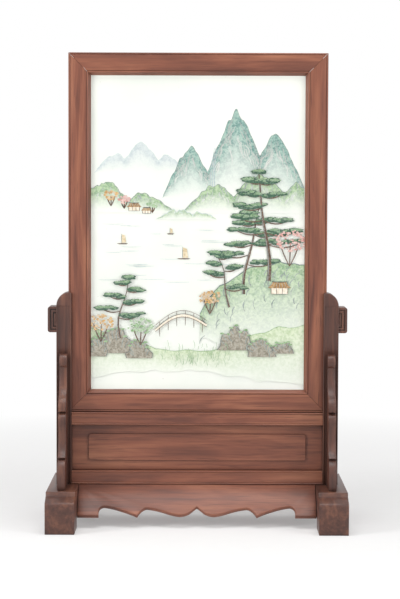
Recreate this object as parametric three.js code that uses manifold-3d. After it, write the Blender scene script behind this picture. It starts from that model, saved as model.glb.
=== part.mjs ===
// A Chinese insert screen: a painted porcelain plaque in a mitred hardwood frame, which drops into
// the grooved posts of a footed stand. Millimetres, +Z up, the front faces -Y, and the origin is on
// the table under the middle of the screen.
import * as THREE from "three";
import { mergeVertices } from "three/addons/utils/BufferGeometryUtils.js";
import Module from "manifold-3d";

const wasm = await Module();
wasm.setup();

// Clearances
const FIT = 0.3; // between a tenon, tongue or board and the cut that takes it
const SEAM = 0.3; // between two members that meet at a shoulder or a mitre
const PLAQUE_PLAY = 0.6; // round the plaque, so that the wood can shrink

// Porcelain plaque
const PLAQUE_W = 268;
const PLAQUE_H = 389;
const PLAQUE_T = 6;

// Screen frame
const MEMBER_W = 27; // a stile or rail, from the outer edge to the sight edge
const FRAME_T = 24;
const FRONT_LIP_T = 6; // wood in front of the plaque
const SIGHT_HOLD = 5; // how far the lip covers the plaque
const SIGHT_SPLAY = 3; // bevel from the face back to the plaque
const BEAD_R = 1; // bead that runs along both edges of a face
const QUIRK_W = 0.9; // groove between a bead and the face
const FACE_CROWN = 0.5; // how far the face swells between its quirks
const MITRE_TENON_T = 6;
const MITRE_TENON_H = 11;
const MITRE_TENON_EDGE = 5; // wood left outside the tenon
const BACKBOARD_T = 6;
const STRIP_W = 8;

// Posts
const POST_W = 18; // across the front, from the grooved side to the outer side
const POST_T = 34;
const GROOVE_DEPTH = 4;
const POST_ABOVE_RAIL = 145; // from the top rail's upper face to the post's top
const SHOULDER_W = 14; // quarter round at the outer side of the top
const SHOULDER_H = 16;
const POST_BEAD_W = 1.5; // raised line at both sides of the face
const POST_FACE_SUNK = 0.8; // how far the face lies behind that line
const POST_TENON_W = 9;
const POST_TENON_T = 18;
const POST_TENON_L = 26;

// Fretted ears, let into the outer side of the posts
const EAR_W = 18;
const EAR_H = 31;
const EAR_T = 31;
const EAR_REACH = 10.5; // how far it stands out from the post
const EAR_DROP = 17; // from the post's top to the ear's top
const EAR_ROUND = 3;
const FRET_W = 1.8;
const FRET_DEPTH = 1.6;

// Stand rails and panel
const TOP_RAIL_H = 15.2;
const LOW_RAIL_H = 16;
const RAIL_T = 33;
const RAIL_BEAD_R = 0.9;
const RAIL_TENON_L = 9;
const RAIL_TENON_T = 10;
const RAIL_TENON_EDGE = 3; // wood left beyond the tenon, away from the panel
const TONGUE_WALL = 1; // wood between the tenon and the panel's tongue
const PANEL_H = 56; // seen between the two rails
const PANEL_T = 13;
const TONGUE_T = 7;
const TONGUE_L = 4;
const FIELD_RAISE = 2;
const FIELD_SIDE_MARGIN = 20.5;
const FIELD_END_MARGIN = 12;
const FIELD_ROUND = 3;

// Feet
const FOOT_W = 35;
const FOOT_L = 184;
const FOOT_H = 48;
const FOOT_NOSE_H = 37; // upright front end
const FOOT_NOSE_ROUND = 3;
const FOOT_SLOPE_L = 15; // from the nose to the step
const FOOT_STEP_Z = 43; // where the slope meets the riser
const FOOT_RISER_LEAN = 2.5;
const FOOT_QUIRK = 1;
const FOOT_PAD_L = 45;
const FOOT_ARCH_H = 15;
const FOOT_ARCH_ROUND = 8;

// Spandrels, before and behind each post. Each point of the edge is how far it stands out from the
// post, its height above the foot, and the control point of the curve that leads to it.
const SPANDREL_T = 9;
const SPANDREL_TOP_REACH = 5;
const SPANDREL_H = 159;
const SPANDREL_EDGE = [
  { out: 48, up: 22, viaOut: 50, viaUp: 12 }, // toe
  { out: 37, up: 36, viaOut: 47, viaUp: 33 },
  { out: 41, up: 38, viaOut: 39, viaUp: 36 }, // lower cusp
  { out: 30, up: 72, viaOut: 26, viaUp: 46 },
  { out: 24, up: 90, viaOut: 37, viaUp: 88 }, // middle lobe
  { out: 30, up: 92, viaOut: 27, viaUp: 90 },
  { out: 20, up: 110, viaOut: 33, viaUp: 104 }, // upper lobe
  { out: 9, up: 143, viaOut: 9, viaUp: 118 },
  { out: 14, up: 151, viaOut: 14, viaUp: 144 }, // scrolled head
  { out: SPANDREL_TOP_REACH, up: SPANDREL_H, viaOut: 13, viaUp: SPANDREL_H },
];

// Slanted aprons. Each point of the lower edge is its place from the middle, its distance down the
// slope, and the control point of the curve that leads to it.
const APRON_T = 5.5;
const APRON_SLOPE_L = 47;
const APRON_LEAN = THREE.MathUtils.degToRad(47); // away from upright
const APRON_EDGE = [
  { x: 8, down: 41, viaX: 4.5, viaDown: 37 },
  { x: 21, down: 45.5, viaX: 14, viaDown: 45.5 }, // round lobe
  { x: 36, down: 41.5, viaX: 27, viaDown: 45 },
  { x: 60, down: 34.8, viaX: 49, viaDown: 36 },
  { x: 71.5, down: APRON_SLOPE_L, viaX: 66.5, viaDown: 36 }, // pointed lobe
  { x: 91, down: 38, viaX: 80, viaDown: 42 },
  { x: 111.5, down: 32.3, viaX: 102, viaDown: 33.5 },
  { x: 117.5, down: APRON_SLOPE_L, viaX: 119.5, viaDown: 33.5 }, // corner by the foot
];
const APRON_MIDDLE_DOWN = 33; // cusp in the middle

// Curve steps
const STEPS = 6;

// Sizes worked out from those above
const SIGHT_W = PLAQUE_W - 2 * SIGHT_HOLD;
const SIGHT_H = PLAQUE_H - 2 * SIGHT_HOLD;
const FRAME_W = SIGHT_W + 2 * MEMBER_W;
const FRAME_H = SIGHT_H + 2 * MEMBER_W;
const FRAME_FRONT = -FRAME_T / 2;
const FRAME_BACK = FRAME_T / 2;
const RABBET_FRONT = FRAME_FRONT + FRONT_LIP_T;
const RABBET_W = PLAQUE_W + 2 * PLAQUE_PLAY;
const RABBET_H = PLAQUE_H + 2 * PLAQUE_PLAY;
const PLAQUE_FRONT = RABBET_FRONT + FIT;
const BOARD_FRONT = PLAQUE_FRONT + PLAQUE_T + FIT;
const STRIP_FRONT = BOARD_FRONT + BACKBOARD_T + FIT;
const LOW_RAIL_Z = FOOT_H + SEAM;
const PANEL_Z = LOW_RAIL_Z + LOW_RAIL_H;
const TOP_RAIL_Z = PANEL_Z + PANEL_H;
const SEAT_Z = TOP_RAIL_Z + TOP_RAIL_H; // the frame stands here
const FRAME_Z = SEAT_Z + FIT;
const FRAME_MID_Z = FRAME_Z + FRAME_H / 2;
const GROOVE_BOTTOM_X = FRAME_W / 2 + FIT;
const GROOVE_T = FRAME_T + 2 * (FACE_CROWN + FIT);
const POST_INNER_X = GROOVE_BOTTOM_X - GROOVE_DEPTH;
const POST_OUTER_X = POST_INNER_X + POST_W;
const POST_MID_X = (POST_INNER_X + POST_OUTER_X) / 2;
const POST_TOP_Z = SEAT_Z + POST_ABOVE_RAIL;
const FOOT_INNER_X = POST_MID_X - FOOT_W / 2;
const RAIL_END_X = POST_INNER_X - SEAM;

// Turns a closed three.js geometry into a solid that can be joined and cut.
function solidOf(geometry) {
  geometry.deleteAttribute("normal");
  geometry.deleteAttribute("uv");
  const merged = mergeVertices(geometry, 1e-4);
  const mesh = new wasm.Mesh({
    numProp: 3,
    vertProperties: merged.attributes.position.array,
    triVerts: new Uint32Array(merged.index.array),
  });
  return new wasm.Manifold(mesh);
}

// Turns a solid back into a geometry.
function geometryOf(solid) {
  const { vertProperties, triVerts } = solid.getMesh();
  const geometry = new THREE.BufferGeometry();
  geometry.setAttribute("position", new THREE.BufferAttribute(vertProperties, 3));
  geometry.setIndex(new THREE.BufferAttribute(triVerts, 1));
  geometry.computeVertexNormals();
  return geometry;
}

// The two ends of a stretch of a given size about a middle.
const about = (mid, size) => [mid - size / 2, mid + size / 2];

// A box between pairs of X, Y and Z limits.
function block([x0, x1], [y0, y1], [z0, z1]) {
  const geometry = new THREE.BoxGeometry(x1 - x0, y1 - y0, z1 - z0);
  return solidOf(geometry.translate((x0 + x1) / 2, (y0 + y1) / 2, (z0 + z1) / 2));
}

// The same box, larger by the working clearance on every side.
function clearanceBlock(x, y, z) {
  const grown = ([low, high]) => [low - FIT, high + FIT];
  return block(grown(x), grown(y), grown(z));
}

function extrude(shape, depth) {
  return new THREE.ExtrudeGeometry(shape, { depth, curveSegments: STEPS, bevelEnabled: false });
}

// Extrudes a shape drawn in X and Z along Y.
function alongY(shape, [y0, y1]) {
  return solidOf(extrude(shape, y1 - y0).rotateX(Math.PI / 2).translate(0, y1, 0));
}

// Extrudes a shape drawn in Y and Z along X.
function alongX(shape, [x0, x1]) {
  return solidOf(extrude(shape, x1 - x0).rotateX(Math.PI / 2).rotateZ(Math.PI / 2).translate(x0, 0, 0));
}

const polygon = (points) => new THREE.Shape(points.map(([x, y]) => new THREE.Vector2(x, y)));
const mirrorX = (solid) => solid.mirror([1, 0, 0]);
const mirrorY = (solid) => solid.mirror([0, 1, 0]);

// Points over half a bead that swells towards -Y, from height low to low + 2 radius.
function beadPoints(front, low, radius) {
  const points = [];
  for (let i = 0; i <= STEPS; i += 1) {
    const turn = (Math.PI * i) / STEPS;
    points.push([front + radius - radius * Math.sin(turn), low + radius - radius * Math.cos(turn)]);
  }
  return points;
}

// Materials
const wood = (color) => new THREE.MeshStandardMaterial({ color, roughness: 0.42, metalness: 0 });
const rosewood = wood(0x6b3b2b);
const darkwood = wood(0x40241c);
const plainwood = wood(0x7d5d40);
const porcelain = new THREE.MeshStandardMaterial({ color: 0xe6e8e0, roughness: 0.12, metalness: 0 });

const screen = new THREE.Group();
const stand = new THREE.Group();
const object = new THREE.Group();
object.add(stand, screen);

function add(group, name, solid, material) {
  const mesh = new THREE.Mesh(geometryOf(solid), material);
  mesh.name = name;
  group.add(mesh);
}

// A frame member along X, its outer edge at z = 0 and its sight edge above, cut to its mitres.
function frameMember(length) {
  const faceLow = 2 * BEAD_R + QUIRK_W;
  const faceHigh = MEMBER_W - SIGHT_SPLAY - faceLow;
  const crown = [];
  for (let i = 0; i <= STEPS; i += 1) {
    const along = i / STEPS;
    crown.push([
      FRAME_FRONT - FACE_CROWN * 4 * along * (1 - along),
      faceLow + (faceHigh - faceLow) * along,
    ]);
  }
  const rabbet = (FRAME_W - RABBET_W) / 2;
  const section = polygon([
    [FRAME_BACK, 0],
    ...beadPoints(FRAME_FRONT, 0, BEAD_R),
    ...crown,
    ...beadPoints(FRAME_FRONT, faceHigh + QUIRK_W, BEAD_R),
    [RABBET_FRONT, MEMBER_W],
    [RABBET_FRONT, rabbet],
    [FRAME_BACK, rabbet],
  ]);
  const half = (length - SEAM) / 2;
  const mitres = polygon([
    [-half, 0],
    [half, 0],
    [half - MEMBER_W, MEMBER_W],
    [-half + MEMBER_W, MEMBER_W],
  ]);
  return alongX(section, about(0, length)).intersect(alongY(mitres, about(0, 2 * FRAME_T)));
}

// Tenon at one end of a lower frame rail that lies at z = 0.
const mitreTenon = [
  [FRAME_W / 2 - MITRE_TENON_EDGE - 2 * MITRE_TENON_H, FRAME_W / 2 - MITRE_TENON_EDGE],
  about(0, MITRE_TENON_T),
  [MITRE_TENON_EDGE + 1, MITRE_TENON_EDGE + 1 + MITRE_TENON_H],
];

function buildScreen() {
  const tenon = block(...mitreTenon);
  const lowRail = frameMember(FRAME_W).add(tenon).add(mirrorX(tenon)).translate([0, 0, FRAME_Z]);
  const turnedOver = (solid) => solid.mirror([0, 0, 1]).translate([0, 0, 2 * FRAME_MID_Z]);
  const mortise = clearanceBlock(...mitreTenon).translate([0, 0, FRAME_Z]);
  const rightStile = mirrorX(frameMember(FRAME_H).rotate([0, 90, 0]).translate([-FRAME_W / 2, 0, FRAME_MID_Z]))
    .subtract(mortise)
    .subtract(turnedOver(mortise));
  add(screen, "frame_bottom_rail", lowRail, rosewood);
  add(screen, "frame_top_rail", turnedOver(lowRail), rosewood);
  add(screen, "frame_right_stile", rightStile, rosewood);
  add(screen, "frame_left_stile", mirrorX(rightStile), rosewood);

  const z = (height) => about(FRAME_MID_Z, height);
  const plaque = block(about(0, PLAQUE_W), [PLAQUE_FRONT, PLAQUE_FRONT + PLAQUE_T], z(PLAQUE_H));
  add(screen, "porcelain_plaque", plaque, porcelain);
  const boardW = RABBET_W - 2 * FIT;
  const boardH = RABBET_H - 2 * FIT;
  const board = block(about(0, boardW), [BOARD_FRONT, BOARD_FRONT + BACKBOARD_T], z(boardH));
  add(screen, "back_board", board, plainwood);

  const stripY = [STRIP_FRONT, FRAME_BACK];
  const lowStripZ = FRAME_MID_Z - boardH / 2;
  const lowStrip = block(about(0, boardW), stripY, [lowStripZ, lowStripZ + STRIP_W]);
  add(screen, "bottom_strip", lowStrip, plainwood);
  add(screen, "top_strip", turnedOver(lowStrip), plainwood);
  const sideStrip = block([boardW / 2 - STRIP_W, boardW / 2], stripY, z(boardH - 2 * (STRIP_W + SEAM)));
  add(screen, "right_strip", sideStrip, plainwood);
  add(screen, "left_strip", mirrorX(sideStrip), plainwood);
}

// A stand rail with a bead along the top and bottom of its faces, a tenon at each end and a
// groove for the panel's tongue. The tenon is set away from the groove.
function railTenon(low, height, panelAbove) {
  const nearPanel = TONGUE_L + FIT + TONGUE_WALL;
  const below = panelAbove ? RAIL_TENON_EDGE : nearPanel;
  const above = panelAbove ? nearPanel : RAIL_TENON_EDGE;
  return [
    [RAIL_END_X - RAIL_TENON_L, RAIL_END_X + SEAM + RAIL_TENON_L],
    about(0, RAIL_TENON_T),
    [low + below, low + height - above],
  ];
}

function standRail(low, height, panelAbove) {
  const front = [
    ...beadPoints(-RAIL_T / 2, low, RAIL_BEAD_R),
    [-RAIL_T / 2 + RAIL_BEAD_R / 2, low + 2 * RAIL_BEAD_R + RAIL_BEAD_R],
    [-RAIL_T / 2 + RAIL_BEAD_R / 2, low + height - 3 * RAIL_BEAD_R],
    ...beadPoints(-RAIL_T / 2, low + height - 2 * RAIL_BEAD_R, RAIL_BEAD_R),
  ];
  const back = front.map(([y, z]) => [-y, z]).reverse();
  const bar = alongX(polygon([...front, ...back]), about(0, 2 * RAIL_END_X));
  const tenon = block(...railTenon(low, height, panelAbove));
  const grooveEnd = panelAbove ? low + height : low;
  const groove = block(
    about(0, 2 * RAIL_END_X + 2 * TONGUE_L),
    about(0, TONGUE_T + 2 * FIT),
    about(grooveEnd, 2 * (TONGUE_L + FIT)),
  );
  return bar.subtract(groove).add(tenon).add(mirrorX(tenon));
}

function roundedRectangle(x, z, radius) {
  const shape = new THREE.Shape();
  shape.moveTo(x[0] + radius, z[0]);
  shape.lineTo(x[1] - radius, z[0]);
  shape.absarc(x[1] - radius, z[0] + radius, radius, -Math.PI / 2, 0, false);
  shape.lineTo(x[1], z[1] - radius);
  shape.absarc(x[1] - radius, z[1] - radius, radius, 0, Math.PI / 2, false);
  shape.lineTo(x[0] + radius, z[1]);
  shape.absarc(x[0] + radius, z[1] - radius, radius, Math.PI / 2, Math.PI, false);
  shape.lineTo(x[0], z[0] + radius);
  shape.absarc(x[0] + radius, z[0] + radius, radius, Math.PI, 1.5 * Math.PI, false);
  return shape;
}

// The panel's tongue runs all round it, into both rails and both posts.
const tongueX = about(0, 2 * (POST_INNER_X + TONGUE_L));
const tongueZ = [PANEL_Z - TONGUE_L, TOP_RAIL_Z + TONGUE_L];

function standPanel() {
  const body = block(about(0, 2 * RAIL_END_X), about(0, PANEL_T), [PANEL_Z + FIT, TOP_RAIL_Z - FIT]);
  const tongue = block(tongueX, about(0, TONGUE_T), tongueZ);
  const fieldX = about(0, 2 * (POST_INNER_X - FIELD_SIDE_MARGIN));
  const fieldZ = [PANEL_Z + FIELD_END_MARGIN, TOP_RAIL_Z - FIELD_END_MARGIN];
  const field = alongY(roundedRectangle(fieldX, fieldZ, FIELD_ROUND), about(0, PANEL_T + 2 * FIELD_RAISE));
  return body.add(tongue).add(field);
}

// Limits of the ear before its corners are rounded.
const earX = [POST_OUTER_X + EAR_REACH - EAR_W, POST_OUTER_X + EAR_REACH];
const earZ = [POST_TOP_Z - EAR_DROP - EAR_H, POST_TOP_Z - EAR_DROP];

const postTenon = [
  about(POST_MID_X, POST_TENON_W),
  about(0, POST_TENON_T),
  [FOOT_H - POST_TENON_L, FOOT_H + POST_TENON_L],
];

function post() {
  const shape = new THREE.Shape();
  shape.moveTo(POST_INNER_X, FOOT_H + SEAM);
  shape.lineTo(POST_OUTER_X, FOOT_H + SEAM);
  shape.lineTo(POST_OUTER_X, POST_TOP_Z - SHOULDER_H);
  const middle = [POST_OUTER_X - SHOULDER_W, POST_TOP_Z - SHOULDER_H];
  shape.absellipse(...middle, SHOULDER_W, SHOULDER_H, 0, Math.PI / 2, false);
  shape.lineTo(POST_INNER_X, POST_TOP_Z);
  const groove = block([0, GROOVE_BOTTOM_X], about(0, GROOVE_T), [SEAT_Z, POST_TOP_Z + 1]);
  const sunkX = [POST_INNER_X + POST_BEAD_W, POST_OUTER_X - POST_BEAD_W];
  const sunk = block(sunkX, about(-POST_T / 2, 2 * POST_FACE_SUNK), [FOOT_H, POST_TOP_Z - SHOULDER_H]);
  return alongY(shape, about(0, POST_T))
    .add(block(...postTenon))
    .subtract(groove)
    .subtract(sunk)
    .subtract(mirrorY(sunk))
    .subtract(clearanceBlock(tongueX, about(0, TONGUE_T), tongueZ))
    .subtract(clearanceBlock(...railTenon(LOW_RAIL_Z, LOW_RAIL_H, true)))
    .subtract(clearanceBlock(...railTenon(TOP_RAIL_Z, TOP_RAIL_H, false)))
    .subtract(clearanceBlock(earX, about(0, EAR_T), earZ));
}

// A square spiral of grooves, winding inwards over the front of the ear.
function fret() {
  const pitch = 2 * FRET_W;
  const y = about(-EAR_T / 2, 2 * FRET_DEPTH);
  let [left, right] = [earX[0] + pitch, earX[1] - pitch];
  let [low, high] = [earZ[0] + pitch, earZ[1] - pitch];
  let start = left;
  let cut = block([left, right], y, about(low, FRET_W));
  while (right - left > pitch / 2) {
    cut = cut.add(block([start, right + FRET_W / 2], y, about(low, FRET_W)));
    cut = cut.add(block(about(right, FRET_W), y, [low, high]));
    cut = cut.add(block([left - FRET_W / 2, right + FRET_W / 2], y, about(high, FRET_W)));
    cut = cut.add(block(about(left, FRET_W), y, [low + pitch, high]));
    start = left;
    [left, right] = [left + pitch, right - pitch];
    [low, high] = [low + pitch, high - pitch];
  }
  return cut;
}

function ear() {
  const blank = alongY(roundedRectangle(earX, earZ, EAR_ROUND), about(0, EAR_T));
  return blank.subtract(fret()).subtract(mirrorY(fret()));
}

function foot() {
  const end = FOOT_L / 2;
  const pad = end - FOOT_PAD_L;
  const step = end - FOOT_SLOPE_L;
  const arch = FOOT_ARCH_ROUND;
  const shape = new THREE.Shape();
  shape.moveTo(-end, 0);
  shape.lineTo(-pad, 0);
  shape.lineTo(-pad, FOOT_ARCH_H - arch);
  shape.quadraticCurveTo(-pad, FOOT_ARCH_H, -pad + arch, FOOT_ARCH_H);
  shape.lineTo(pad - arch, FOOT_ARCH_H);
  shape.quadraticCurveTo(pad, FOOT_ARCH_H, pad, FOOT_ARCH_H - arch);
  shape.lineTo(pad, 0);
  shape.lineTo(end, 0);
  shape.lineTo(end, FOOT_NOSE_H - FOOT_NOSE_ROUND);
  shape.quadraticCurveTo(end, FOOT_NOSE_H, end - FOOT_NOSE_ROUND, FOOT_NOSE_H + FOOT_QUIRK);
  shape.lineTo(step, FOOT_STEP_Z);
  shape.lineTo(step - FOOT_QUIRK, FOOT_STEP_Z - FOOT_QUIRK);
  shape.lineTo(step - FOOT_RISER_LEAN, FOOT_H);
  shape.lineTo(-step + FOOT_RISER_LEAN, FOOT_H);
  shape.lineTo(-step + FOOT_QUIRK, FOOT_STEP_Z - FOOT_QUIRK);
  shape.lineTo(-step, FOOT_STEP_Z);
  shape.lineTo(-end + FOOT_NOSE_ROUND, FOOT_NOSE_H + FOOT_QUIRK);
  shape.quadraticCurveTo(-end, FOOT_NOSE_H, -end, FOOT_NOSE_H - FOOT_NOSE_ROUND);
  return alongX(shape, about(POST_MID_X, FOOT_W)).subtract(clearanceBlock(...postTenon));
}

function spandrel() {
  const back = -POST_T / 2 - SEAM;
  const base = FOOT_H + SEAM;
  const shape = new THREE.Shape();
  shape.moveTo(back, base);
  shape.lineTo(back - SPANDREL_EDGE[0].out, base);
  for (const { out, up, viaOut, viaUp } of SPANDREL_EDGE)
    shape.quadraticCurveTo(back - viaOut, base + viaUp, back - out, base + up);
  shape.lineTo(back, base + SPANDREL_H - SPANDREL_TOP_REACH);
  return alongX(shape, about(POST_MID_X, SPANDREL_T));
}

// The apron is drawn in its own plane, with its upper edge at z = 0, then leant forward.
function apron() {
  const end = FOOT_INNER_X - SEAM;
  const shape = new THREE.Shape();
  shape.moveTo(0, -APRON_MIDDLE_DOWN);
  for (const { x, down, viaX, viaDown } of APRON_EDGE)
    shape.quadraticCurveTo(viaX, -viaDown, x, -down);
  shape.lineTo(end, -APRON_SLOPE_L);
  shape.lineTo(end, 0);
  shape.lineTo(0, 0);
  const half = alongY(shape, [0, APRON_T]);
  return half
    .add(mirrorX(half))
    .rotate([-THREE.MathUtils.radToDeg(APRON_LEAN), 0, 0])
    .translate([0, -RAIL_T / 2, LOW_RAIL_Z - FIT]);
}

function addPair(name, right, material) {
  add(stand, `right_${name}`, right, material);
  add(stand, `left_${name}`, mirrorX(right), material);
}

function buildStand() {
  addPair("foot", foot(), darkwood);
  addPair("post", post(), darkwood);
  addPair("ear", ear(), darkwood);
  addPair("front_spandrel", spandrel(), darkwood);
  addPair("rear_spandrel", mirrorY(spandrel()), darkwood);
  add(stand, "stand_low_rail", standRail(LOW_RAIL_Z, LOW_RAIL_H, true), rosewood);
  add(stand, "stand_top_rail", standRail(TOP_RAIL_Z, TOP_RAIL_H, false), rosewood);
  add(stand, "stand_panel", standPanel(), rosewood);
  add(stand, "front_apron", apron(), rosewood);
  add(stand, "rear_apron", mirrorY(apron()), rosewood);
}

buildScreen();
buildStand();

export default object;
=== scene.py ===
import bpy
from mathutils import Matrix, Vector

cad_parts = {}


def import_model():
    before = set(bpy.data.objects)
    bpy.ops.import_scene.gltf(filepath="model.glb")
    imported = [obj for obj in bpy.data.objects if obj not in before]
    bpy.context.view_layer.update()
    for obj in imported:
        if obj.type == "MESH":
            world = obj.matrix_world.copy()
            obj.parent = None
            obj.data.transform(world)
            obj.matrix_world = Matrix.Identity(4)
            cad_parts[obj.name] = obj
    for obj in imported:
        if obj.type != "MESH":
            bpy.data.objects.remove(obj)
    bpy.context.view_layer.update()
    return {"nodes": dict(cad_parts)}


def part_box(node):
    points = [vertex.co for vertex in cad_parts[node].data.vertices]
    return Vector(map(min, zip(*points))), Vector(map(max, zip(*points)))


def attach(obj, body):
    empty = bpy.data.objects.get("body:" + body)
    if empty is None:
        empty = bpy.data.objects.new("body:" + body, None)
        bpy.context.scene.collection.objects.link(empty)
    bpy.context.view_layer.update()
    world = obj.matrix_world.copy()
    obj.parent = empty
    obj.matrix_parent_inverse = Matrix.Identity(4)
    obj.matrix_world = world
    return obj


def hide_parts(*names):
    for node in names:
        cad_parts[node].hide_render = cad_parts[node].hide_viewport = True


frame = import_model()

import math

import bmesh
import bpy
import numpy as np
from mathutils import Matrix, Vector

MM = 0.001
SEED = 7

# Camera, fitted to the photograph
IMAGE_W, IMAGE_H = 400, 599
FOCAL_PX = 1900
CAMERA_AT = Vector((0.0029, -2.302, 0.4166))
CAMERA_DOWN = math.radians(3.6)
CAMERA_ROLL = math.radians(0.2)
SENSOR_MM = 36

# Floor and light
FLOOR_RADIUS = 6.0
FLOOR_FADE_START = 0.45
FLOOR_FADE_END = 1.1
FLOOR_LEAST_WHITE = 0.3  # share of plain white in the floor under the object
FLOOR_DROP = 0.0002
FLOOR_SIDES = 96
AMBIENT = 0.42
LAMP_AIM = (0, 0, 0.3)

# Each lamp's name, place, width in metres and power in watts
LAMPS = [
    ("left_softbox", (-1.5, -1.0, 0.75), 0.6, 17),
    ("right_softbox", (1.5, -1.1, 0.7), 0.9, 13),
    ("overhead", (0, -0.5, 1.9), 1.2, 16),
]

# Wood: the direction of the grain, then how dark the piece is
GRAIN = {"X": (0.12, 1.0, 1.0), "Y": (1.0, 0.12, 1.0), "Z": (1.0, 1.0, 0.12)}
SCREEN_WOOD = {
    "frame_top_rail": "X",
    "frame_bottom_rail": "X",
    "frame_left_stile": "Z",
    "frame_right_stile": "Z",
}
STAND_WOOD = {"stand_top_rail": "X", "stand_low_rail": "X", "stand_panel": "X"}
BACK_WOOD = {"back_board": "Z", "bottom_strip": "X", "top_strip": "X", "left_strip": "Z", "right_strip": "Z"}

# Members of the stand in a darker rosewood, partly for dark end grain and partly as painted shade, with the
# width in metres of their eased edges
EASED_WOOD = {
    "foot": ("Y", 0.0011),
    "post": ("Z", 0.0006),
    "ear": ("Z", 0.0004),
    "front_spandrel": ("Z", 0.0009),
    "rear_spandrel": ("Z", 0.0009),
}
APRON_EASE = 0.0007
EASE_SEGMENTS = 2
WELD_DISTANCE = 0.000002
FLAT_ANGLE = math.radians(0.4)  # faces that turn less than this are joined
SHARP_ANGLE = math.radians(38)  # edges that turn more than this are eased
SMOOTH_ANGLE = math.radians(40)

LIP_HOLD = 0.005  # how far the frame covers the plaque on each side


def linear(code):
    """A colour written as six hexadecimal digits, as linear values with alpha."""
    values = [int(code[i : i + 2], 16) / 255 for i in (0, 2, 4)]
    curve = [v / 12.92 if v <= 0.04045 else ((v + 0.055) / 1.055) ** 2.4 for v in values]
    return (*curve, 1.0)


# Node helpers
class Nodes:
    """A material's node tree, with short ways to add and join nodes."""

    def __init__(self, name):
        self.material = bpy.data.materials.new(name)
        self.material.use_nodes = True
        self.tree = self.material.node_tree
        self.shader = self.tree.nodes["Principled BSDF"]
        self.output = self.tree.nodes["Material Output"]

    def add(self, kind, inputs=None, **settings):
        node = self.tree.nodes.new("ShaderNode" + kind)
        for name, value in settings.items():
            setattr(node, name, value)
        for name, value in (inputs or {}).items():
            self.feed(node.inputs[name], value)
        return node

    def feed(self, socket, value):
        if isinstance(value, bpy.types.NodeSocket):
            self.tree.links.new(value, socket)
        else:
            socket.default_value = value

    def math(self, operation, a, b=0.0, clamp=False):
        node = self.add("Math", operation=operation, use_clamp=clamp)
        self.feed(node.inputs[0], a)
        self.feed(node.inputs[1], b)
        return node.outputs[0]

    def mix(self, factor, a, b):
        node = self.add("Mix", data_type="RGBA", clamp_factor=True)
        self.feed(node.inputs[0], factor)
        self.feed(node.inputs[6], a)
        self.feed(node.inputs[7], b)
        return node.outputs[2]

    def ramp(self, factor, stops):
        node = self.add("ValToRGB", {"Fac": factor})
        elements = node.color_ramp.elements
        while len(elements) < len(stops):
            elements.new(0.5)
        for element, (position, colour) in zip(elements, stops):
            element.position = position
            element.color = colour
        return node.outputs["Color"]

    def step(self, factor, low, high):
        """0 below low, 1 above high, and smooth between."""
        node = self.add("MapRange", {"Value": factor, "From Min": low, "From Max": high})
        node.interpolation_type = "SMOOTHSTEP"
        return node.outputs["Result"]

    def noise(self, vector, scale, detail=3.0, roughness=0.5, distortion=0.0):
        inputs = {"Vector": vector, "Scale": scale, "Detail": detail, "Roughness": roughness}
        node = self.add("TexNoise", inputs)
        node.inputs["Distortion"].default_value = distortion
        return node.outputs["Fac"]

    def place(self, scale=(1, 1, 1), shift=(0, 0, 0)):
        coordinates = self.add("TexCoord").outputs["Object"]
        inputs = {"Vector": coordinates, "Scale": scale, "Location": shift}
        return self.add("Mapping", inputs).outputs["Vector"]


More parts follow.
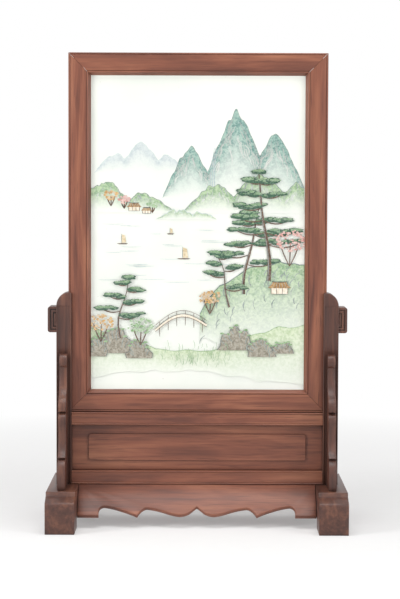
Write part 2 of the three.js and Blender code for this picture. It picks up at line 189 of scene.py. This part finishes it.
def hardwood(name, axis, tones, seed, gloss=0.36):
    """Waxed hardwood: streaked figure, fine dark pores, arrises painted paler for wear and as a painted
    highlight, and recesses painted darker for dark wax and as painted shade.
    """
    n = Nodes(name)
    grain = GRAIN[axis]
    shift = (seed * 1.7, seed * 0.9, seed * 2.3)
    figure = n.noise(n.place(grain, shift), 34, 4, 0.55, 1.4)
    streaks = n.noise(n.place([g**1.5 for g in grain], shift), 210, 5, 0.6, 0.4)
    pores = n.noise(n.place([g**1.6 for g in grain], shift), 900, 2, 0.5)
    clouds = n.noise(n.place((1, 1, 1), shift), 9, 2)
    blend = n.math("ADD", n.math("MULTIPLY", figure, 0.62), n.math("MULTIPLY", streaks, 0.38))
    dark, middle, light = [linear(tone) for tone in tones]
    colour = n.ramp(blend, [(0.34, dark), (0.5, middle), (0.66, light)])
    colour = n.mix(n.step(clouds, 0.35, 0.75), colour, n.mix(0.28, colour, middle))
    pore_mask = n.math("MULTIPLY", n.step(pores, 0.6, 0.7), 0.55)
    colour = n.mix(pore_mask, colour, dark)

    soft = n.add("Bevel", samples=4)
    soft.inputs["Radius"].default_value = 0.0007
    true_normal = n.add("NewGeometry").outputs["True Normal"]
    facing = n.add("VectorMath", operation="DOT_PRODUCT")
    n.feed(facing.inputs[0], soft.outputs["Normal"])
    n.feed(facing.inputs[1], true_normal)
    edge = n.math("SUBTRACT", 1.0, facing.outputs["Value"], clamp=True)
    # Arrises painted paler where the bevel normal turns from the true normal: partly worn edges, partly a
    # painted highlight.
    worn_edge_and_highlight = n.math("MULTIPLY", n.step(edge, 0.015, 0.16), n.step(clouds, 0.3, 0.7))
    colour = n.mix(n.math("MULTIPLY", worn_edge_and_highlight, 0.5), colour, light)
    # Recesses, quirks and joints painted darker from ambient occlusion: partly dark wax, partly painted
    # shade. The same mask also roughens them.
    hollow = n.add("AmbientOcclusion", samples=4)
    hollow.inputs["Distance"].default_value = 0.007
    wax_and_shade = n.math("SUBTRACT", 1.0, n.step(hollow.outputs["AO"], 0.25, 0.85))
    colour = n.mix(n.math("MULTIPLY", wax_and_shade, 0.6), colour, linear("1c100c"))
    n.feed(n.shader.inputs["Base Color"], colour)

    rough = n.math("ADD", gloss, n.math("MULTIPLY", streaks, 0.22))
    rough = n.math("ADD", rough, n.math("MULTIPLY", wax_and_shade, 0.2))
    n.feed(n.shader.inputs["Roughness"], rough)
    height = n.math("SUBTRACT", streaks, n.math("MULTIPLY", pore_mask, 1.2))
    bump = n.add("Bump", {"Height": height, "Normal": soft.outputs["Normal"]})
    bump.inputs["Strength"].default_value = 0.22
    bump.inputs["Distance"].default_value = 0.0002
    n.feed(n.shader.inputs["Normal"], bump.outputs["Normal"])
    n.shader.inputs["Coat Weight"].default_value = 0.18
    n.shader.inputs["Coat Roughness"].default_value = 0.3
    return n.material


GLAZE = "eceee7"
GLAZE_CLOUD = "e2e7df"
GLAZE_SPECK = "a89f8c"
ENAMEL_MOTTLE = 260
ROSEWOOD = ("4a241a", "7c4733", "9c6449")
# A darker copy of the rosewood for the feet, posts, ears and spandrels: partly the feet's dark end grain,
# partly painted shade where the spandrels shadow the posts.
SHADED_DARK_ROSEWOOD = ("2a1611", "4f2d22", "734936")
PLAIN_WOOD = ("5c4430", "7f6247", "9c7d5d")


def glaze_finish(n, base):
    """Shared finish of bare and painted glaze: glassy, with a faint orange-peel surface."""
    ripple = n.noise(n.place(), 130, 2)
    bump = n.add("Bump", {"Height": ripple})
    bump.inputs["Strength"].default_value = 0.05
    bump.inputs["Distance"].default_value = 0.0003
    n.feed(n.shader.inputs["Base Color"], base)
    n.feed(n.shader.inputs["Normal"], bump.outputs["Normal"])
    n.feed(n.shader.inputs["Roughness"], n.math("ADD", 0.12, n.math("MULTIPLY", ripple, 0.1)))
    n.shader.inputs["Coat Weight"].default_value = 0.3
    n.shader.inputs["Coat Roughness"].default_value = 0.06
    return n.material


def glaze_colour(n):
    """Off-white glaze with faint clouds and a few iron specks."""
    clouds = n.noise(n.place(), 14, 3)
    colour = n.mix(n.step(clouds, 0.3, 0.75), linear(GLAZE), linear(GLAZE_CLOUD))
    specks = n.noise(n.place(shift=(3, 1, 4)), 420, 1)
    return n.mix(n.math("MULTIPLY", n.step(specks, 0.79, 0.82), 0.5), colour, linear(GLAZE_SPECK))


def porcelain():
    n = Nodes("porcelain_glaze")
    return glaze_finish(n, glaze_colour(n))


def enamel(name, light, dark):
    """Painted enamel: its wash attribute thins it into the glaze, as a brush running dry does."""
    n = Nodes(name)
    mottle = n.noise(n.place(), ENAMEL_MOTTLE, 4, 0.6, 0.6)
    paint = n.mix(n.step(mottle, 0.36, 0.66), linear(light), linear(dark))
    wash = n.add("Attribute", attribute_name="wash").outputs["Fac"]
    breakup = n.noise(n.place(shift=(5, 2, 1)), 520, 3)
    cover = n.math("MULTIPLY", wash, n.math("ADD", 0.62, n.math("MULTIPLY", breakup, 0.75)), clamp=True)
    return glaze_finish(n, n.mix(cover, glaze_colour(n), paint))


# Painting
PAINTS = {
    "far_peak": ("c4ced0", "a3b3ba"),
    "mountain": ("9fbcb0", "5f8a84"),
    "hill": ("b3c9a2", "7f9f7c"),
    "ground": ("d3dec2", "b3c79c"),
    "ink": ("3c4a48", "26302f"),
    "crag": ("56736f", "38504f"),
    "pine_dark": ("3a6249", "284a38"),
    "pine_light": ("7ea36f", "578353"),
    "leaf_pink": ("dba79c", "c07f78"),
    "leaf_ochre": ("cfa45e", "a87b3e"),
    "leaf_green": ("93b583", "6a935f"),
    "trunk": ("6e5341", "463226"),
    "rock": ("a6a091", "787060"),
    "roof": ("b6905a", "87633a"),
    "wall": ("efe6d6", "dccfb8"),
    "water": ("b4c6ca", "93abb3"),
    "sail": ("e4d6b8", "c9b48c"),
}
PAINT_STEP = 0.0000012  # each shape lies this much in front of the last, in metres
PAINT_LIFT = 0.00004  # and the first lies this much in front of the glaze


class Painting:
    """Flat enamel shapes on the plaque. u runs right and v up from the sight edge, in millimetres."""

    def __init__(self, low, high):
        self.low, self.high = low, high
        self.width = (high.x - low.x) / MM
        self.height = (high.z - low.z) / MM
        self.depth = PAINT_LIFT
        self.points, self.washes, self.faces, self.face_paints = [], [], [], []
        self.names = list(PAINTS)
        self.random = np.random.default_rng(SEED)

    def shape(self, points, faces, paint, washes):
        first = len(self.points)
        self.depth += PAINT_STEP
        for (u, v), wash in zip(points, washes):
            u = min(max(u, 0.0), self.width)
            v = min(max(v, 0.0), self.height)
            self.points.append((self.low.x + u * MM, self.low.y - self.depth, self.low.z + v * MM))
            self.washes.append(wash)
        for face in faces:
            self.faces.append([first + i for i in face])
            self.face_paints.append(self.names.index(paint))

    def ribbon(self, path, widths, paint, wash=1.0):
        """A brush stroke along a path, with a width at each point."""
        points = []
        for i, (u, v) in enumerate(path):
            before = path[max(i - 1, 0)]
            after = path[min(i + 1, len(path) - 1)]
            du, dv = after[0] - before[0], after[1] - before[1]
            length = math.hypot(du, dv) or 1.0
            side = (-dv / length * widths[i] / 2, du / length * widths[i] / 2)
            points += [(u + side[0], v + side[1]), (u - side[0], v - side[1])]
        faces = [(2 * i, 2 * i + 1, 2 * i + 3, 2 * i + 2) for i in range(len(path) - 1)]
        self.shape(points, faces, paint, [wash] * len(points))

    def stroke(self, start, end, width, paint, bend=0.0, wash=1.0, parts=6):
        """A bent stroke that swells in the middle and thins at both ends."""
        path, widths = [], []
        for i in range(parts + 1):
            t = i / parts
            bow = bend * math.sin(math.pi * t)
            u = start[0] + (end[0] - start[0]) * t + bow * (end[1] - start[1])
            v = start[1] + (end[1] - start[1]) * t - bow * (end[0] - start[0])
            path.append((u, v))
            widths.append(width * (0.25 + 0.75 * math.sin(math.pi * (0.12 + 0.76 * t))))
        self.ribbon(path, widths, paint, wash)

    def blob(self, u, v, ru, rv, paint, jag=0.2, corners=12, wash=1.0):
        spread = 1 + jag * self.random.uniform(-1, 1, corners)
        turns = np.linspace(0, 2 * math.pi, corners, endpoint=False)
        points = [(u + ru * r * math.cos(t), v + rv * r * math.sin(t)) for r, t in zip(spread, turns)]
        self.shape(points, [range(corners)], paint, [wash] * corners)

    def rough_line(self, count, amount, smooth):
        """A smooth random wander about zero."""
        raw = self.random.normal(0, 1, count + 2 * smooth)
        kernel = np.hanning(smooth + 2)[1:-1]
        line = np.convolve(raw, kernel / kernel.sum(), "same")[smooth : smooth + count]
        return amount * line / (abs(line).max() or 1)

    def mountain(self, peaks, base, paint, line_paint, strokes=0, strength=1.0, rows=10):
        """Peaks given as (middle u, half width, height), fading into mist at the base."""
        left = max(min(c - w for c, w, h in peaks), 0)
        right = min(max(c + w for c, w, h in peaks), self.width)
        us = np.arange(left, right + 0.1, 1.6)
        tops = np.zeros(len(us))
        for c, w, h in peaks:
            tops = np.maximum(tops, h * np.clip(1 - (abs(us - c) / w) ** 1.35, 0, None))
        scale = tops / max(tops.max(), 1)
        tops += (self.rough_line(len(us), 5.5, 5) + self.rough_line(len(us), 2.4, 2)) * scale
        tops = np.clip(tops, 0.2, None)
        points, washes = [], []
        for u, top in zip(us, tops):
            for row in range(rows + 1):
                t = row / rows
                points.append((u, base + top * t))
                washes.append(strength * min(1.0, (t * 1.25) ** 1.3))
        faces = []
        for i in range(len(us) - 1):
            for row in range(rows):
                a = i * (rows + 1) + row
                faces.append((a, a + rows + 1, a + rows + 2, a + 1))
        self.shape(points, faces, paint, washes)
        ridge = [(u, base + top) for u, top in zip(us, tops) if top > 3]
        if len(ridge) > 2:
            widths = 0.55 + abs(self.rough_line(len(ridge), 0.5, 3))
            self.ribbon(ridge, widths, line_paint, 0.75 * strength)
        for _ in range(strokes):
            i = int(self.random.integers(2, len(us) - 2))
            drop = self.random.uniform(0.08, 0.72)
            top = base + tops[i] * (1 - drop * 0.55)
            fall = tops[i] * self.random.uniform(0.08, 0.24)
            slope = math.copysign(self.random.uniform(0.15, 0.6), tops[i] - tops[i + 1])
            end = (us[i] + fall * slope, top - fall)
            width = self.random.uniform(0.5, 1.5)
            bend = self.random.uniform(-0.2, 0.2)
            self.stroke((us[i], top), end, width, line_paint, bend, (1 - drop) * 0.75)

    def pine(self, u, v, height, lean, boughs):
        path, widths = [], []
        parts = 9
        for i in range(parts + 1):
            t = i / parts
            path.append((u + lean * t * t + 2.2 * math.sin(t * 7 + u), v + height * t))
            widths.append(4.6 * (1 - 0.75 * t) * height / 120)
        self.ribbon(path, widths, "trunk")
        shade = [(a - w * 0.28, b) for (a, b), w in zip(path, widths)]
        self.ribbon(shade, [w * 0.25 for w in widths], "ink", 0.7)
        for k in range(boughs):
            t = 0.38 + 0.62 * (k + 0.5) / boughs
            a, b = path[min(int(t * parts), parts)]
            side = -1 if k % 2 else 1
            reach = (1.15 - t) * height * 0.34 + 7
            tip = (a + side * reach, b + self.random.uniform(-2, 5))
            self.stroke((a, b), tip, 1.5, "trunk", 0.12 * side)
            for j in range(4):
                f = 0.35 + 0.65 * j / 3
                cu = a + (tip[0] - a) * f + self.random.uniform(-1.5, 1.5)
                cv = b + (tip[1] - b) * f + self.random.uniform(0, 3)
                size = self.random.uniform(6.5, 9.5) * (0.75 + height / 480)
                self.needles(cu, cv, size)
        self.needles(path[-1][0], path[-1][1], 9)

    def needles(self, u, v, size):
        """A flat-bottomed fan of pine needles."""
        self.blob(u, v, size, size * 0.36, "pine_dark", 0.22, 18)
        self.blob(u + 0.4, v + size * 0.12, size * 0.78, size * 0.2, "pine_light", 0.3, 14, 0.85)
        for i in range(7):
            turn = math.pi * (i + 0.5) / 7
            end = (u + size * 1.02 * math.cos(turn), v + size * 0.48 * math.sin(turn))
            self.stroke((u, v - size * 0.1), end, 0.35, "pine_dark", 0, 0.9, 2)

    def broadleaf(self, u, v, height, paint, leaves):
        for side in (-0.3, 0.02, 0.3):
            self.stroke((u, v), (u + side * height, v + height * 0.72), 1.5, "trunk", 0.1 * side)
        for _ in range(leaves):
            turn = self.random.uniform(0, 2 * math.pi)
            reach = math.sqrt(self.random.uniform(0, 1)) * height * 0.45
            cu = u + reach * math.cos(turn) * 1.15
            cv = v + height * 0.78 + reach * math.sin(turn) * 0.72
            size = self.random.uniform(1.0, 2.1)
            self.blob(cu, cv, size, size * 0.75, paint, 0.3, 7, self.random.uniform(0.6, 1))

    def rock(self, u, v, width, height):
        count = 13
        turns = np.linspace(0, math.pi, count)
        rough = 1 + self.random.uniform(-0.16, 0.16, count)
        top = [(u + width / 2 * math.cos(t) * r, v + height * math.sin(t) * r) for t, r in zip(turns, rough)]
        self.shape(top, [range(count)], "rock", [0.95] * count)
        self.ribbon(top, [0.9] * count, "ink", 0.85)
        for i in range(2, count - 2):
            a, b = top[i]
            end = (a + (u - a) * 0.35 + 1.5, b - height * self.random.uniform(0.25, 0.5))
            self.stroke((a, b), end, 1.0, "crag", 0.1, 0.75)
        for i in range(3, count - 3):
            self.blob(top[i][0], top[i][1] + 0.3, 2.6, 1.1, "leaf_green", 0.3, 8, 0.9)

    def hut(self, u, v, size):
        wall = [(u - size, v), (u + size, v), (u + size, v + size * 0.8), (u - size, v + size * 0.8)]
        self.shape(wall, [range(4)], "wall", [1] * 4)
        for x in (-1, -0.35, 0.35, 1):
            self.stroke((u + x * size, v), (u + x * size, v + size * 0.8), 0.7, "trunk")
        self.stroke((u - size, v + 0.3), (u + size, v + 0.3), 0.7, "ink", 0, 0.8)
        eaves = v + size * 0.75
        roof = [(u - size * 1.4, eaves), (u + size * 1.4, eaves)]
        roof += [(u + size * 0.8, eaves + size * 0.75), (u - size * 0.8, eaves + size * 0.75)]
        self.shape(roof, [range(4)], "roof", [1] * 4)
        for i in range(7):
            f = -1 + i / 3
            top = (u + f * size * 0.78, eaves + size * 0.74)
            self.stroke((u + f * size * 1.3, eaves), top, 0.45, "ink", 0, 0.55, 2)
        ridge = eaves + size * 0.75
        self.stroke((u - size * 0.95, ridge + 0.4), (u + size * 0.95, ridge + 0.4), 1.1, "ink", 0.03)

    def boat(self, u, v, size):
        hull = [(u - size, v + 1.2), (u - size * 0.6, v), (u + size * 0.6, v), (u + size, v + 1.2)]
        self.shape(hull, [range(4)], "trunk", [1] * 4)
        sail = [(u - size * 0.1, v + 1.6), (u + size * 0.62, v + 2), (u + size * 0.45, v + size * 1.5)]
        sail.append((u - size * 0.1, v + size * 1.7))
        self.shape(sail, [range(4)], "sail", [1] * 4)
        self.stroke((u - size * 0.15, v + 1), (u - size * 0.15, v + size * 1.8), 0.45, "ink", 0, 0.9)

    def bank(self, edge, floor, paint):
        """Ground between an upper and a lower line, both lists of (u, v) with the same u values."""
        points = [*edge, *floor]
        n = len(edge)
        faces = [(i, i + 1, n + i + 1, n + i) for i in range(n - 1)]
        self.shape(points, faces, paint, [1.0] * n + [0.12] * n)

    def mesh(self, name):
        mesh = bpy.data.meshes.new(name)
        mesh.from_pydata(self.points, [], self.faces)
        wash = mesh.attributes.new("wash", "FLOAT", "POINT")
        wash.data.foreach_set("value", self.washes)
        for paint, (light, dark) in PAINTS.items():
            mesh.materials.append(enamel("enamel_" + paint, light, dark))
        mesh.polygons.foreach_set("material_index", self.face_paints)
        mesh.update()
        bm = bmesh.new()
        bm.from_mesh(mesh)
        for face in bm.faces:
            if face.normal.y > 0:
                face.normal_flip()
        bm.to_mesh(mesh)
        bm.free()
        return mesh


def landscape():
    """A generic river landscape: far peaks on the left, a massif on the right, pines on a bluff."""
    plaque_low, plaque_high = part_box("porcelain_plaque")
    low = Vector((plaque_low.x + LIP_HOLD, plaque_low.y, plaque_low.z + LIP_HOLD))
    high = Vector((plaque_high.x - LIP_HOLD, plaque_low.y, plaque_high.z - LIP_HOLD))
    p = Painting(low, high)

    p.mountain([(30, 26, 26), (60, 30, 38), (92, 24, 22)], 262, "far_peak", "water", 24, 0.7)
    p.mountain([(120, 34, 62), (176, 46, 104), (222, 40, 78)], 232, "mountain", "crag", 190)
    for shift in (-1.2, 0.4, 1.8):
        p.stroke((150 + shift, 292), (146 + shift * 2, 236), 0.8, "water", 0.03, 0.9)
    p.mountain([(150, 40, 34), (204, 46, 50), (248, 34, 34)], 214, "hill", "crag", 90)
    p.mountain([(16, 44, 38), (62, 40, 24)], 214, "hill", "crag", 60)
    p.mountain([(104, 26, 12), (132, 20, 9)], 206, "hill", "water", 14, 0.8)

    village_trees = [(24, 222, 17, "leaf_ochre"), (40, 219, 14, "leaf_pink"), (74, 214, 13, "leaf_green")]
    for u, v, size, paint in village_trees:
        p.broadleaf(u, v, size, paint, 34)
    p.hut(52, 216, 6.5)
    p.hut(67, 213, 4.8)

    for _ in range(26):
        u = p.random.uniform(8, 150)
        v = p.random.uniform(128, 202)
        p.stroke((u, v), (u + p.random.uniform(12, 34), v), 0.45, "water", 0.015, 0.7)
    p.boat(38, 176, 7)
    p.boat(96, 188, 4.5)
    p.boat(112, 158, 8.5)

    us = np.linspace(132, p.width, 22)
    bluff = [(u, 92 + 66 * (1 - math.exp(-(u - 132) / 38)) + w) for u, w in zip(us, p.rough_line(22, 4, 3))]
    p.bank(bluff, [(u, 58 + w) for u, w in zip(us, p.rough_line(22, 5, 4))], "hill")
    p.ribbon(bluff, 0.6 + abs(p.rough_line(22, 0.8, 3)), "crag", 0.9)
    for _ in range(46):
        k = int(p.random.integers(1, 21))
        start = (bluff[k][0], bluff[k][1] - p.random.uniform(0, 46))
        end = (start[0] + p.random.uniform(-7, 3), start[1] - p.random.uniform(5, 14))
        p.stroke(start, end, p.random.uniform(0.6, 1.6), "crag", 0.15, 0.7)

    us = np.linspace(0, p.width, 44)
    shore = [(u, 62 + 16 * math.sin(u / 46 + 2.2) + w) for u, w in zip(us, p.rough_line(44, 4, 4))]
    floor = [(u, 14 + 8 * math.sin(u / 60) + w) for u, w in zip(us, p.rough_line(44, 3, 4))]
    p.bank(shore, floor, "ground")
    p.ribbon(shore, 0.5 + abs(p.rough_line(44, 0.6, 3)), "leaf_green", 0.9)

    p.pine(186, 116, 108, 20, 8)
    p.pine(214, 132, 132, -14, 10)
    p.pine(166, 100, 66, -16, 5)
    p.broadleaf(240, 150, 40, "leaf_pink", 90)
    p.broadleaf(144, 92, 26, "leaf_ochre", 60)
    p.hut(228, 116, 10)

    arch = [(78 + 62 * t, 72 + 15 * math.sin(math.pi * t) + 6 * t) for t in np.linspace(0, 1, 13)]
    p.ribbon(arch, [3.4] * 13, "wall")
    p.ribbon([(u, v + 1.8) for u, v in arch], [0.7] * 13, "ink", 0.9)
    p.ribbon([(u, v - 1.8) for u, v in arch], [0.7] * 13, "trunk", 0.9)
    for u, v in arch[1:-1:2]:
        p.stroke((u, v - 1), (u, v - 12), 0.8, "trunk")
        p.stroke((u, v + 1), (u, v + 6), 0.7, "trunk")
    p.ribbon([(u, v + 6) for u, v in arch], [0.6] * 13, "trunk", 0.9)

    for u, v, width, height in [(26, 44, 46, 30), (58, 38, 30, 20), (8, 40, 24, 22), (176, 48, 44, 26)]:
        p.rock(u, v, width, height)
    p.rock(206, 40, 34, 20)
    p.rock(232, 44, 26, 14)
    p.pine(34, 62, 74, 12, 6)
    p.broadleaf(60, 54, 30, "leaf_green", 70)
    p.broadleaf(12, 58, 30, "leaf_ochre", 56)
    for _ in range(70):
        u = p.random.uniform(84, 168)
        v = p.random.uniform(26, 52)
        end = (u + p.random.uniform(-3, 3), v + p.random.uniform(4, 10))
        p.stroke((u, v), end, 0.5, "leaf_green", 0.1, 0.85, 3)

    painted = bpy.data.objects.new("enamel_landscape", p.mesh("enamel_landscape"))
    bpy.context.scene.collection.objects.link(painted)
    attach(painted, "screen")


def dress(node, material):
    """Gives a CAD node its material."""
    slots = frame["nodes"][node].material_slots
    for slot in slots:
        slot.material = material


def eased(node, body, width, material):
    """Shows a copy of a CAD node whose sharp edges are rounded off, as worn wood is."""
    bm = bmesh.new()
    bm.from_mesh(frame["nodes"][node].data)
    bmesh.ops.remove_doubles(bm, verts=bm.verts, dist=WELD_DISTANCE)
    bmesh.ops.dissolve_limit(bm, angle_limit=FLAT_ANGLE, verts=bm.verts, edges=bm.edges)
    sharp = [e for e in bm.edges if len(e.link_faces) == 2 and e.calc_face_angle(0) > SHARP_ANGLE]
    bmesh.ops.bevel(
        bm, geom=sharp, offset=width, offset_type="OFFSET", segments=EASE_SEGMENTS, profile=0.5,
        affect="EDGES", clamp_overlap=True,
    )
    bmesh.ops.recalc_face_normals(bm, faces=bm.faces)
    mesh = bpy.data.meshes.new(node + "_eased")
    bm.to_mesh(mesh)
    bm.free()
    mesh.shade_smooth()
    mesh.set_sharp_from_angle(angle=SMOOTH_ANGLE)
    mesh.materials.append(material)
    piece = bpy.data.objects.new(node + "_eased", mesh)
    bpy.context.scene.collection.objects.link(piece)
    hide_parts(node)
    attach(piece, body)


def dress_screen():
    for seed, (node, axis) in enumerate(SCREEN_WOOD.items()):
        dress(node, hardwood(node + "_wood", axis, ROSEWOOD, seed + 1))
    for seed, (node, axis) in enumerate(BACK_WOOD.items()):
        dress(node, hardwood(node + "_wood", axis, PLAIN_WOOD, seed + 11, 0.55))
    dress("porcelain_plaque", porcelain())
    landscape()


def dress_stand():
    for seed, (node, axis) in enumerate(STAND_WOOD.items()):
        dress(node, hardwood(node + "_wood", axis, ROSEWOOD, seed + 21))
    for seed, (name, (axis, width)) in enumerate(EASED_WOOD.items()):
        for side in ("left", "right"):
            node = f"{side}_{name}"
            material = hardwood(node + "_wood", axis, SHADED_DARK_ROSEWOOD, seed * 2 + len(side) + 31)
            eased(node, "stand", width, material)
    for seed, node in enumerate(("front_apron", "rear_apron")):
        eased(node, "stand", APRON_EASE, hardwood(node + "_wood", "X", ROSEWOOD, seed + 51))


def floor():
    """A white floor that keeps the object's shadow and turns into plain white further out."""
    mesh = bpy.data.meshes.new("floor")
    bm = bmesh.new()
    bmesh.ops.create_circle(bm, cap_ends=True, segments=FLOOR_SIDES, radius=FLOOR_RADIUS)
    bm.to_mesh(mesh)
    bm.free()
    ground = bpy.data.objects.new("floor", mesh)
    ground.location.z = -FLOOR_DROP
    bpy.context.scene.collection.objects.link(ground)
    n = Nodes("floor_paper")
    grain = n.noise(n.place(), 60, 3)
    n.feed(n.shader.inputs["Base Color"], n.mix(grain, linear("f4f4f4"), linear("f8f8f8")))
    n.shader.inputs["Roughness"].default_value = 0.9
    n.shader.inputs["Specular IOR Level"].default_value = 0.1
    distance = n.add("VectorMath", {0: n.place()}, operation="LENGTH").outputs["Value"]
    white = n.add("Emission")
    rays = n.add("LightPath")
    seen = n.math("ADD", rays.outputs["Is Camera Ray"], rays.outputs["Is Glossy Ray"])
    seen = n.math("ADD", seen, rays.outputs["Is Transmission Ray"], clamp=True)
    fade = n.add("MapRange", {"Value": distance, "From Min": FLOOR_FADE_START, "From Max": FLOOR_FADE_END})
    fade.inputs["To Min"].default_value = FLOOR_LEAST_WHITE
    share = n.math("MULTIPLY", fade.outputs["Result"], seen)
    blend = n.add("MixShader", {0: share})
    n.feed(blend.inputs[1], n.shader.outputs["BSDF"])
    n.feed(blend.inputs[2], white.outputs["Emission"])
    n.feed(n.output.inputs["Surface"], blend.outputs["Shader"])
    mesh.materials.append(n.material)


def world():
    """White where it is seen or mirrored, and a soft grey light everywhere else."""
    sky = bpy.data.worlds.new("studio")
    bpy.context.scene.world = sky
    sky.use_nodes = True
    nodes, links = sky.node_tree.nodes, sky.node_tree.links
    output = nodes["World Output"]
    ambient = nodes["Background"]
    ambient.inputs["Color"].default_value = (1.0, 0.99, 0.98, 1.0)
    ambient.inputs["Strength"].default_value = AMBIENT
    seen = nodes.new("ShaderNodeBackground")
    seen.inputs["Color"].default_value = (1.0, 1.0, 1.0, 1.0)
    rays = nodes.new("ShaderNodeLightPath")
    both = nodes.new("ShaderNodeMath")
    both.operation = "ADD"
    links.new(rays.outputs["Is Camera Ray"], both.inputs[0])
    links.new(rays.outputs["Is Glossy Ray"], both.inputs[1])
    total = nodes.new("ShaderNodeMath")
    total.operation = "ADD"
    total.use_clamp = True
    links.new(both.outputs[0], total.inputs[0])
    links.new(rays.outputs["Is Transmission Ray"], total.inputs[1])
    blend = nodes.new("ShaderNodeMixShader")
    links.new(total.outputs[0], blend.inputs[0])
    links.new(ambient.outputs[0], blend.inputs[1])
    links.new(seen.outputs[0], blend.inputs[2])
    links.new(blend.outputs[0], output.inputs["Surface"])


def lamp(name, place, target, size, watts):
    light = bpy.data.lights.new(name, "AREA")
    light.size = size
    light.energy = watts
    holder = bpy.data.objects.new(name, light)
    direction = Vector(target) - Vector(place)
    holder.matrix_world = Matrix.Translation(place) @ direction.to_track_quat("-Z", "Y").to_matrix().to_4x4()
    bpy.context.scene.collection.objects.link(holder)


def camera():
    data = bpy.data.cameras.new("camera")
    data.sensor_width = SENSOR_MM
    data.sensor_fit = "AUTO"
    data.lens = FOCAL_PX / max(IMAGE_W, IMAGE_H) * SENSOR_MM
    data.clip_end = 50
    holder = bpy.data.objects.new("camera", data)
    tilt = Matrix.Rotation(math.pi / 2 - CAMERA_DOWN, 4, "X")
    holder.matrix_world = Matrix.Translation(CAMERA_AT) @ tilt @ Matrix.Rotation(CAMERA_ROLL, 4, "Z")
    bpy.context.scene.collection.objects.link(holder)
    bpy.context.scene.camera = holder


def studio():
    floor()
    world()
    for name, place, size, watts in LAMPS:
        lamp(name, place, LAMP_AIM, size, watts)
    camera()
    bpy.context.scene.view_settings.view_transform = "Standard"


dress_screen()
dress_stand()
studio()
